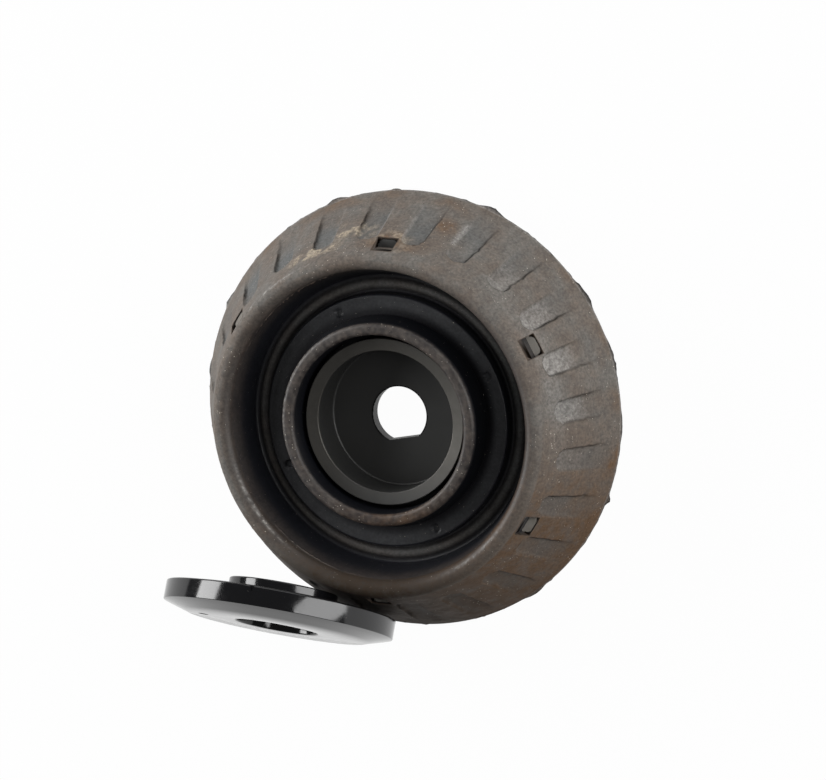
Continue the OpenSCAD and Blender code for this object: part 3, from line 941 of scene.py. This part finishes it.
    def inside(self) -> list[Point]:
        """Gives the outline from the rim's inner edge over groove, web and rebound ring into the slit."""
        swing = math.sin(math.radians(self.bead_swing))
        rim_r, rim_h = self.rim_centre
        groove = (self.groove_r, self.groove_h + self.groove_round)
        bead = (self.bead_r, groove[1] - (self.groove_round + self.bead_round) * swing)
        channel = (self.web_r + self.channel_round, bead[1] + (self.bead_round + self.channel_round) * swing)
        slit_r = self.cup_r + self.slit_w
        mouth = (slit_r, self.cup_h + self.cup_depth)
        soft, crest_h = self.rebound_round, self.rebound_h - self.rebound_round
        foot = (self.ring_foot_r, self.web_h)
        web = (self.web_r - self.web_round, self.web_h - self.web_round)
        wall_top = (rim_r - self.rim_round, rim_h)
        wall_foot = (groove[0] + self.groove_round, groove[1])
        round_groove = arc(groove, self.groove_round, 0, self.bead_swing - 180, 10)
        round_bead = arc(bead, self.bead_round, self.bead_swing, 180 - self.bead_swing, 8)
        round_channel = arc(channel, self.channel_round, -self.bead_swing, -180, 9)
        round_web = arc(web, self.web_round, 0, 90, 4)
        ring_out = arc((self.ring_in_r + self.rebound_w - soft, crest_h), soft, 0, 90, 6)
        ring_in = arc((self.ring_in_r + soft, crest_h), soft, 90, 180, 6)
        flash = [(wall_top[0] + (wall_foot[0] - wall_top[0]) * (rim_h - h) / (rim_h - wall_foot[1]), h)
                 for h in (self.flash_h + self.flash_step, self.flash_h, self.flash_h - self.flash_step)]
        slit_foot = (slit_r, self.cup_h + self.slit_floor)
        return [*flash, *stretch(flash[-1], wall_foot, self.wall_step)[1:], *round_groove, *round_bead[1:],
                *round_channel[1:], *stretch(round_channel[-1], round_web[0], self.fine_step)[1:], *round_web,
                *stretch(round_web[-1], foot, self.web_step)[1:],
                *stretch(foot, ring_out[0], self.ring_step), *ring_out,
                *stretch(ring_out[-1], ring_in[0], self.fine_step)[1:], *ring_in,
                *stretch(ring_in[-1], mouth, self.fine_step)[1:],
                *stretch(mouth, slit_foot, self.slit_step), slit_foot]

    def bond(self) -> list[Point]:
        """Gives the outline along the cup that the rubber is bonded to."""
        corner = (self.cup_r - self.cup_corner, self.cup_h + self.cup_corner)
        return [(self.cup_r, self.cup_h + self.slit_floor), *arc(corner, self.cup_corner, 0, -90, 6),
                (self.recess_r, self.cup_h)]

    def build(self, floor: float) -> bpy.types.Object:
        """Models the body.

        Args:
            floor: The height of its underside in the frame, in metres.

        Returns:
            The finished mesh, with its stored layers.
        """
        outline = [*self.cavity(), *self.outside(), *self.inside(), *self.bond()]
        piece = spun("rubber_moulding", outline, self.turn_steps)
        self.weather(piece.data)
        self.open_windows(piece)
        piece.data.transform(Matrix.Translation((0, 0, floor)))
        return piece

    def weather(self, mesh: bpy.types.Mesh) -> None:
        """Moulds flutes, pin marks, flash and uneven skin into the turned body, and stores its wear with
        painted light.
        """
        skin = Skin.of(mesh)
        zones = self.zones(skin)
        flank = self.on_flank(skin)
        lumps, knobs = skin.noise(self.lump_mm, 3.1), skin.noise(self.knob_mm, 8.4)
        border, side, floor = self.flutes(skin, knobs)
        border = np.where(flank, border, self.off_flute)
        open_end = np.minimum(2 * floor, 1)
        in_flute = ramp(border, 0.0, self.border_soft) * open_end
        crust = flank * self.crust(skin, knobs)
        flash = self.flash(skin)
        tear = self.at_edge(skin) * self.torn_edge(skin)
        uneven = self.lump_rise * lumps + self.knob_rise * knobs
        uneven *= (1 - ramp(skin.height, *self.calm_h)) * (1 - 0.7 * in_flute)
        rise = flank * (uneven + self.crust_rise * crust * (0.5 + knobs)) - self.border_step * in_flute
        rise -= self.floor_share * np.minimum(np.maximum(border, 0), self.flute_depth * floor)
        rise += self.border_lip * open_end * np.exp(-(border / self.border_lip_w) ** 2)
        rise += self.soft_wave * lumps * (zones.rim & (skin.height > self.rim_centre[1]))
        moved = skin.points + rise[:, None] * skin.leaning(self.flank_angle)
        moved[:, 2] += self.soft_wave * lumps * zones.ring - zones.web * self.pin_marks(skin)
        moved += tear[:, None] * skin.outward
        moved += self.flash_reach * flash[:, None] * (0.5 * Skin.UP - skin.outward)
        set_coordinates(mesh, moved * MM)
        mould = Moulding(border, side, in_flute, open_end, crust, np.minimum(2 * flash, 1), tear)
        RoadWear(skin, zones, mould).store(mesh)

    def zones(self, skin: Skin) -> Zones:
        """Sorts a skin's points by the part of the body that they lie on."""
        rim_r, rim_h = self.rim_centre
        over = np.degrees(np.arctan2(skin.height - rim_h, skin.radius - rim_r))
        on_round = np.hypot(skin.radius - rim_r, skin.height - rim_h) < self.rim_round + TOUCH
        rim = on_round & (over > 20)
        outer = rim | ((skin.height >= self.edge_h) & (skin.radius > rim_r))
        inner = ~outer & (skin.radius > self.web_r)
        base = skin.height < self.edge_h
        edge_highlight = (skin.height > self.edge_h) & (skin.height < self.edge_h + 0.2)
        web = (np.abs(skin.height - self.web_h) < TOUCH) & (skin.radius > self.ring_foot_r - TOUCH)
        ring = (skin.radius < self.ring_foot_r) & (skin.height > self.web_h + 0.05)
        ring_side = skin.radius - self.ring_in_r - self.rebound_w
        crest = ring * ramp(skin.height, self.rebound_h - 1.4, self.rebound_h - 0.3)
        from_foot = ramp(skin.radius, self.ring_foot_r + 0.3, self.ring_foot_r + 2.8)
        bead = inner * np.exp(-((skin.radius - self.bead_r) / 1.2) ** 2) * (skin.height < self.web_h - 1)
        return Zones(over, rim, outer, inner, base, edge_highlight, web, ring, ring_side, crest, from_foot, bead)

    def flash(self, skin: Skin) -> np.ndarray:
        """Gives the fringe that the mould's parting line left on the groove's wall."""
        on_wall = (skin.radius > self.web_r) & (skin.radius < self.rim_centre[0])
        on_line = on_wall & (np.abs(skin.height - self.flash_h) < TOUCH)
        fringe = skin.near(125, 40) + 0.8 * skin.near(242, 32)
        return on_line * fringe * np.maximum(skin.noise(0.8, 2.2) + 0.2, 0)

    def on_flank(self, skin: Skin) -> np.ndarray:
        """Tells which points lie on the cone between the wide edge and the rim."""
        lean = math.radians(self.flank_angle)
        line = self.edge_r * math.cos(lean) + self.edge_h * math.sin(lean)
        off = skin.radius * math.cos(lean) + skin.height * math.sin(lean) - line
        return (np.abs(off) < TOUCH) & (skin.height > self.edge_h + 0.05)

    def at_edge(self, skin: Skin) -> np.ndarray:
        """Tells which points lie on the wide edge itself."""
        return np.hypot(skin.radius - self.edge_r, skin.height - self.edge_h) < TOUCH

    def flutes(self, skin: Skin, wander: np.ndarray) -> tuple[np.ndarray, ...]:
        """Works out the flutes: hollows with a round end, whose floors run out above the wide edge.

        Args:
            skin: The body's points.
            wander: A noise that makes the flutes' borders uneven.

        Returns:
            How far the hollow lies below the flank, negative outside the flutes, the place across it, from
            -1 to 1, and how much of the floor's depth is left, from 0 to 1.
        """
        lean = math.radians(self.flank_angle)
        top_h = self.body_h - self.flute_drop
        spread = (self.flute_edge_r - self.flute_top_r) / ((top_h - self.edge_h) / math.cos(lean))
        pitch = 360 / self.flute_count
        index = np.round((skin.turn - self.flute_start) / pitch)
        uneven = noise_at(np.stack([index * 3.7, index * 1.3, index * 0], 1), 1.0, 0.37)
        across = skin.radius * np.radians(skin.turn - self.flute_start - index * pitch)
        across += self.wander_across * wander
        down = (top_h - skin.height) / math.cos(lean) + self.uneven_end * uneven + self.wander_end * wander
        hollow = self.flute_top_r + spread * np.maximum(down, 0)
        away = across ** 2 + np.minimum(down, 0) ** 2
        border = self.flute_sink - hollow + np.sqrt(np.maximum(hollow ** 2 - away, 0))
        end_h = self.edge_h + self.flute_land + self.uneven_run_out * (1 + uneven)
        floor = np.clip((skin.height - end_h) / (top_h - end_h), 0, 1)
        return border, np.clip(across / self.flute_half, -1, 1), floor

    def torn_edge(self, skin: Skin) -> np.ndarray:
        """Gives how far the mould's flash sticks out along the wide edge: little, with torn-off tatters."""
        ragged = skin.noise(2.3, 5.5) + 0.7 * skin.noise(1.0, 1.7)
        reach = 0.05 + 0.3 * np.maximum(ragged, 0) ** 1.5
        for turn, width, length in self.tatters:
            reach += length * skin.near(turn, width, 0.3 * width) * (0.9 + 0.25 * ragged)
        return (1 - skin.near(*self.untorn)) * np.maximum(reach, 0)

    def crust(self, skin: Skin, knobs: np.ndarray) -> np.ndarray:
        """Gives where clay has dried on: round one window and in patches to its left."""
        clay = sum(share * skin.near(turn, width) * skin.between(*heights)
                   for share, turn, width, heights in self.clay)
        return np.clip(clay, 0, 1) * ramp(skin.noise(2.6, 6.3) + 0.6 * knobs, -0.3, 0.2)

    def pin_marks(self, skin: Skin) -> np.ndarray:
        """Gives the depth of the round marks that the mould's pins left in the web."""
        depth = np.zeros(len(skin.points))
        for index in range(self.pin_mark_count):
            angle = math.radians(self.pin_mark_start + 360 / self.pin_mark_count * index)
            centre = np.array([math.cos(angle), math.sin(angle)]) * (self.ring_foot_r + self.web_r) / 2
            away = np.hypot(*(skin.points[:, :2] - centre).T)
            inside = 1 - ramp(away, self.pin_mark_r - self.pin_mark_soft, self.pin_mark_r)
            depth += self.pin_mark_depth * inside
        return depth

    def open_windows(self, piece: bpy.types.Object) -> None:
        """Cuts the six windows and the seams round the armature's tabs."""
        window_r = self.flank_r(self.tab_h) - self.window_depth
        seam_r = self.flank_r(self.tab_h) - self.tab_cover + self.tab_seam
        first = self.flute_start + self.window_first * 360 / self.flute_count
        turns = [math.radians(first + 360 / self.window_count * i) for i in range(self.window_count)]
        lip = self.tab_h + self.window_lip
        seam_low = self.tab_h - self.tab_seam_depth
        cuts = ((self.edge_r, lip, self.body_h + self.window_headroom, self.window_round),
                (self.edge_r, self.tab_h, lip + self.cut_overlap, self.window_round),
                (seam_r, seam_low, self.tab_h + self.cut_overlap, self.tab_round + self.tab_seam))
        for outer, low, high, round_r in cuts:
            cut_away(piece, [self.cutter(window_r, outer, low, high, round_r, turn) for turn in turns])
        self.darken_cuts(piece.data)

    def darken_cuts(self, mesh: bpy.types.Mesh) -> None:
        """Gives the windows' walls, which come out of the cuts white, dust by the flank and painted shade
        deeper down, in the soot and shade layers.
        """
        layers = [mesh.attributes[name] for name in MouldedRubber.layers()]
        values = np.empty((len(layers), len(mesh.vertices) * 4), np.float32)
        for row, layer in zip(values, layers):
            layer.data.foreach_get("color", row)
        values = values.reshape(len(layers), -1, 4)
        white = 0.999
        cut = (values > white).all(axis=(0, 2))
        points = coordinates(mesh)[cut] / MM
        depth = self.edge_r - (points[:, 2] - self.edge_h) * math.tan(math.radians(self.flank_angle))
        depth -= np.hypot(points[:, 0], points[:, 1])
        fresh = np.maximum(1 - depth / self.lip_depth, -2)[:, None]
        dusty, gritty, sunk = np.array([[0.75, 0.0, 0.45, 0.0], [0.0, 0.3, 0.0, 0.0], [0.0, 0.0, 1.0, 0.0]])
        values[0, cut] = fresh * dusty
        # Painted shade: the walls darken with depth below the flank, down to black by the tabs.
        values[1, cut] = fresh * gritty + (1 - fresh) * sunk
        values[2, cut] = (1 - 0.6 * fresh) * sunk
        for row, layer in zip(values, layers):
            layer.data.foreach_set("color", row.ravel())
        LOG.info("%d points lie on the windows' walls", int(cut.sum()))

    def cutter(self, inner: float, outer: float, low: float, high: float, round_r: float,
               turn: float) -> bpy.types.Object:
        """Models one block that cuts a window.

        Args:
            inner: Radius of its inner face.
            outer: Radius of its outer face.
            low: Height of its floor.
            high: Height of its top.
            round_r: Rounding of its upright edges.
            turn: Its direction in radians.

        Returns:
            The block.
        """
        deselect_all()
        bpy.ops.mesh.primitive_cube_add(size=1)
        block = bpy.context.object
        size = Vector((outer - inner, self.window_w, high - low)) * MM
        block.data.transform(Matrix.Diagonal((*size, 1)))
        bpy.ops.object.mode_set(mode="EDIT")
        bpy.ops.mesh.select_all(action="DESELECT")
        bpy.ops.object.mode_set(mode="OBJECT")
        for edge in block.data.edges:
            ends = [block.data.vertices[i].co for i in edge.vertices]
            edge.select = abs(ends[0].z - ends[1].z) > size.z / 2 and ends[0].x > 0
        bpy.ops.object.mode_set(mode="EDIT")
        bpy.ops.mesh.select_mode(type="EDGE")
        bpy.ops.mesh.bevel(offset=round_r * MM, segments=5, affect="EDGES")
        bpy.ops.object.mode_set(mode="OBJECT")
        place = Vector(((inner + outer) / 2, 0, (low + high) / 2)) * MM
        block.data.transform(Matrix.Rotation(turn, 4, "Z") @ Matrix.Translation(place))
        return block


@dataclass
class ThrustBearing:
    """The bearing's caps. Sizes are in millimetres, and heights are above the lower cap's flat underside."""

    cap_r: float = 29.3
    cap_cone_h: float = 2.0
    cap_flat_r: float = 23.1
    cap_wall: float = 3.4
    cap_floor: float = 1.8
    bore_r: float = 10.5
    hub_wall: float = 1.6
    disc_t: float = 2.1
    cap_step: float = 0.5
    collar_r: float = 13.9
    collar_h: float = 3.0
    cap_round: float = 0.4
    wall_round: float = 0.2
    flat_soft: float = 0.3
    cone_step: float = 1.5
    cone_edge: tuple[Point, ...] = ((-0.25, -0.08), (-0.08, 0.02), (0.0, 0.14))
    cap_gap: float = 0.35
    bore_relief: float = 0.8
    notch_angle: float = 5.0
    notch_w: float = 1.2
    notch_h: float = 1.5
    notch_depth: float = 0.5
    gate_angle: float = -70.0
    gate_circle_r: float = 18.7
    gate_r: float = 1.3
    gate_depth: float = 0.5
    ball_r: float = 1.25
    ball_play: float = 0.03
    race_t: float = 0.8
    track_depth: float = 0.3
    turn_steps: int = 256
    smooth_angle: float = 28.0

    @property
    def ball_h(self) -> float:
        """Height of the balls' centres."""
        return self.cap_floor + self.race_t - self.track_depth + self.ball_play + self.ball_r

    @property
    def disc_h(self) -> float:
        """Height of the upper cap's underside."""
        return self.ball_h + self.ball_r + self.ball_play - self.track_depth + self.race_t

    @property
    def cap_h(self) -> float:
        """Height of the lower cap's wall."""
        return self.disc_h + self.disc_t - self.cap_step

    def place(self) -> Matrix:
        """Works out where the bearing stands from the joint between its halves.

        Returns:
            The matrix from the bearing's own frame, with Z towards its collar and X up the slope, to the
            part's frame.
        """
        joint = next(j for j in frame["joints"] if j["child"] == Body.UPPER_HALF.value)
        along = -Vector(joint["axis"]).normalized()
        upward = (Vector((0, 0, 1)) - along * along.z).normalized()
        turn = Matrix((upward, along.cross(upward), along)).transposed().to_4x4()
        return Matrix.Translation(Vector(joint["pos_m"]) - along * self.ball_h * MM) @ turn

    def lower_outline(self) -> list[Point]:
        """Gives the lower cap's outline."""
        in_r = self.cap_r - self.cap_wall
        hub_r = self.bore_r + self.hub_wall
        hub_h = self.disc_h - self.cap_gap
        soft, lip, top = self.cap_round, self.wall_round, self.cap_h
        flat = (self.cap_flat_r - self.flat_soft, 0.0)
        edge = [(self.cap_r + out, self.cap_cone_h + up) for out, up in self.cone_edge]
        return [(self.bore_r + soft, 0.0), *stretch(flat, edge[0], self.cone_step), *edge[1:],
                *arc((self.cap_r - soft, top - soft), soft, 0, 90, 5),
                *arc((in_r + lip, top - lip), lip, 90, 180, 3),
                (in_r, self.cap_floor), (hub_r, self.cap_floor), (hub_r, hub_h), (self.bore_r, hub_h),
                *arc((self.bore_r + soft, soft), soft, 180, 260, 3)]

    def upper_outline(self) -> list[Point]:
        """Gives the upper cap's outline."""
        top, soft = self.disc_h + self.disc_t, self.cap_round
        out_r = self.cap_r - self.cap_wall - self.cap_gap
        in_r = self.bore_r + self.bore_relief
        return [(in_r, self.disc_h), (out_r, self.disc_h),
                *arc((out_r - soft, top - soft), soft, 0, 90, 5),
                *arc((self.collar_r + soft, top + soft), soft, 270, 180, 4),
                *arc((self.collar_r - soft, top + self.collar_h - soft), soft, 0, 90, 5),
                *arc((in_r + soft, top + self.collar_h - soft), soft, 90, 180, 4)]

    def marks(self) -> list[bpy.types.Object]:
        """Models the blocks that cut the index notch and the gate mark into the lower cap."""
        deselect_all()
        bpy.ops.mesh.primitive_cube_add(size=math.sqrt(2))
        notch = bpy.context.object
        size = Vector((self.notch_depth * math.sqrt(2), self.notch_w / 2, self.notch_h)) * MM
        place = Matrix.Translation((self.cap_r * MM, 0, self.cap_h * MM))
        turn = Matrix.Rotation(math.radians(self.notch_angle), 4, "Z")
        tipped = Matrix.Diagonal((*size, 1)) @ Matrix.Rotation(math.pi / 4, 4, "X")
        notch.data.transform(turn @ place @ tipped)
        deselect_all()
        bpy.ops.mesh.primitive_cylinder_add(vertices=40, radius=self.gate_r * MM,
                                            depth=2 * self.gate_depth * MM)
        gate = bpy.context.object
        turn = Matrix.Rotation(math.radians(self.gate_angle), 4, "Z")
        gate.data.transform(turn @ Matrix.Translation((self.gate_circle_r * MM, 0, 0)))
        return [notch, gate]

    def build(self, finish: bpy.types.Material) -> None:
        """Models both caps and puts them in their solids' places."""
        caps = ((self.lower_outline(), "lower_bearing_cap", Body.MOUNT),
                (self.upper_outline(), "upper_bearing_cap", Body.UPPER_HALF))
        for outline, node, body in caps:
            piece = spun(node + "_moulding", outline, self.turn_steps)
            if body is Body.MOUNT:
                cut_away(piece, self.marks())
            piece.data.transform(self.place())
            finish_piece(piece, finish, self.smooth_angle)
            stand_for(piece, node, body)


@dataclass(frozen=True)
class Softbox:
    """An area lamp, with its direction in the camera's axes, and its distance and size in metres."""

    name: str
    way: tuple[float, float, float]
    distance: float
    size: Point
    radiance: float
    in_gloss: bool = True

    def hang(self, axes: tuple[Vector, Vector, Vector]) -> None:
        """Hangs the lamp, turned to the object.

        Args:
            axes: The camera's right, up and backward directions.
        """
        data = bpy.data.lights.new(self.name, "AREA")
        data.shape = "RECTANGLE"
        data.size, data.size_y = self.size
        data.energy = self.radiance * math.pi * self.size[0] * self.size[1]
        lamp = bpy.data.objects.new(self.name, data)
        place = sum((axis * share for axis, share in zip(axes, self.way)), Vector()) * self.distance
        lamp.location = place
        lamp.rotation_euler = place.to_track_quat("Z", "Y").to_euler()
        lamp.visible_glossy = self.in_gloss
        bpy.context.scene.collection.objects.link(lamp)


@dataclass
class Studio:
    """The floor, the lamps and the camera at the photograph's viewing angle."""

    photo_w: int = 826
    photo_h: int = 780
    px_per_mm: float = 3.969
    edge_px: Point = (414.1, 407.7)
    tilt: float = 23.4
    tilt_turn: float = 25.5
    distance: float = 2.5
    sensor_mm: float = 36.0
    clip_end: float = 20.0
    floor_m: float = 6.0
    room_light: float = 0.11

    def axes(self) -> tuple[Vector, Vector, Vector]:
        """Gives the camera's right, up and backward directions."""
        tilt, turn = math.radians(self.tilt), math.radians(self.tilt_turn)
        along = Vector((math.cos(turn) * math.cos(tilt), math.sin(turn) * math.cos(tilt), -math.sin(tilt)))
        beside = Vector((-math.sin(turn), math.cos(turn), 0))
        right = along * math.cos(turn) - beside * math.sin(turn)
        up = along * math.sin(turn) + beside * math.cos(turn)
        return right, up, right.cross(up)

    def build(self, floor: float, edge: float) -> None:
        """Sets up the studio.

        Args:
            floor: The height that the object stands on, in metres.
            edge: The height of the mount's wide edge, in metres.
        """
        self.lay_floor(floor)
        self.hang_lamps()
        self.place_camera(Vector((0, 0, edge)))

    def lay_floor(self, height: float) -> None:
        """Lays a sheet of white paper under the object."""
        deselect_all()
        bpy.ops.mesh.primitive_plane_add(size=self.floor_m)
        sheet = bpy.context.object
        sheet.name = "floor"
        sheet.data.transform(Matrix.Translation((0, 0, height)))
        sheet.data.materials.append(StudioFloor().material())

    def hang_lamps(self) -> None:
        """Hangs the softboxes and sets the room's own light."""
        boxes = (Softbox("left_softbox", (-0.968, 0.181, 0.174), 0.8, (0.72, 0.3), 10.2),
                 Softbox("right_softbox", (0.76, 0.1, 0.64), 0.8, (0.32, 1.1), 6.1),
                 Softbox("top_softbox", (0.1, 0.857, 0.505), 0.8, (0.9, 0.5), 1.6),
                 Softbox("front_softbox", (0.1, 0.3, 0.95), 1.2, (0.5, 0.5), 1.0, in_gloss=False))
        for box in boxes:
            box.hang(self.axes())
        world = bpy.data.worlds.new("studio_room")
        world.use_nodes = True
        sky = world.node_tree.nodes["Background"].inputs
        sky["Color"].default_value = linear("#ffffff")
        sky["Strength"].default_value = self.room_light
        bpy.context.scene.world = world
        bpy.context.scene.view_settings.view_transform = "Standard"

    def place_camera(self, edge: Vector) -> None:
        """Puts the camera where the photograph was taken from."""
        right, up, back = self.axes()
        shift_x = (self.photo_w / 2 - self.edge_px[0]) / self.px_per_mm * MM
        shift_y = (self.edge_px[1] - self.photo_h / 2) / self.px_per_mm * MM
        data = bpy.data.cameras.new("photo_camera")
        data.sensor_width = self.sensor_mm
        data.sensor_fit = "HORIZONTAL"
        data.lens = self.sensor_mm * self.distance / (self.photo_w / self.px_per_mm * MM)
        data.clip_end = self.clip_end
        camera = bpy.data.objects.new("photo_camera", data)
        turn = Matrix((right, up, back)).transposed().to_4x4()
        place = edge + right * shift_x + up * shift_y + back * self.distance
        camera.matrix_world = Matrix.Translation(place) @ turn
        bpy.context.scene.collection.objects.link(camera)
        bpy.context.scene.camera = camera


def dress_solids(finishes: dict[str, bpy.types.Material]) -> None:
    """Gives the solids that stay as they are their finishes.

    Args:
        finishes: The material for each node's name.
    """
    for name, finish in finishes.items():
        piece = frame["nodes"][name]
        piece.data.materials.clear()
        piece.data.materials.append(finish)
        LOG.info("%s wears %s", name, finish.name)


def main() -> None:
    """Builds the pieces in order."""
    logging.basicConfig(level=logging.INFO)
    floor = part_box("rubber_body")[0].z
    body = RubberBody()
    Studio().build(floor, floor + body.edge_h * MM)
    moulding = body.build(floor)
    finish_piece(moulding, MouldedRubber().material(), body.smooth_angle)
    stand_for(moulding, "rubber_body", Body.MOUNT)
    ThrustBearing().build(GlossPlastic().material())
    # The cup takes painted shade low in the view and the tab at the top window, beyond the set distances
    # along Y; the cup is also darker below 13.1 mm.
    cup = SheetSteel("phosphated_steel", "#5c5a56", "#514f4b", metallic=0.7, smooth=0.44, dull=0.54,
                     darker_below_mm=13.1, shaded_beyond_mm=21, shaded_way=-1).material()
    tab = SheetSteel("dusty_steel", "#b0aca5", "#948d83", metallic=0.35, smooth=0.42, dull=0.7,
                     shaded_beyond_mm=44).material()
    race = SheetSteel("ground_steel", "#b4b6b8", "#a4a5a6", metallic=1.0, smooth=0.18, dull=0.3).material()
    cage = SheetSteel("natural_polyamide", "#cdbf9a", "#c2b28a", metallic=0.0, smooth=0.45,
                      dull=0.6).material()
    ball = SheetSteel("polished_steel", "#c9cbcd", "#c0c2c4", metallic=1.0, smooth=0.06, dull=0.12).material()
    finishes = {"rod_cup": cup, "armature": tab, "lower_race": race, "upper_race": race, "ball_cage": cage}
    balls = [name for name in frame["nodes"] if name.startswith("ball_") and name not in finishes]
    finishes.update(dict.fromkeys(balls, ball))
    dress_solids(finishes)


if __name__ == "__main__":
    main()
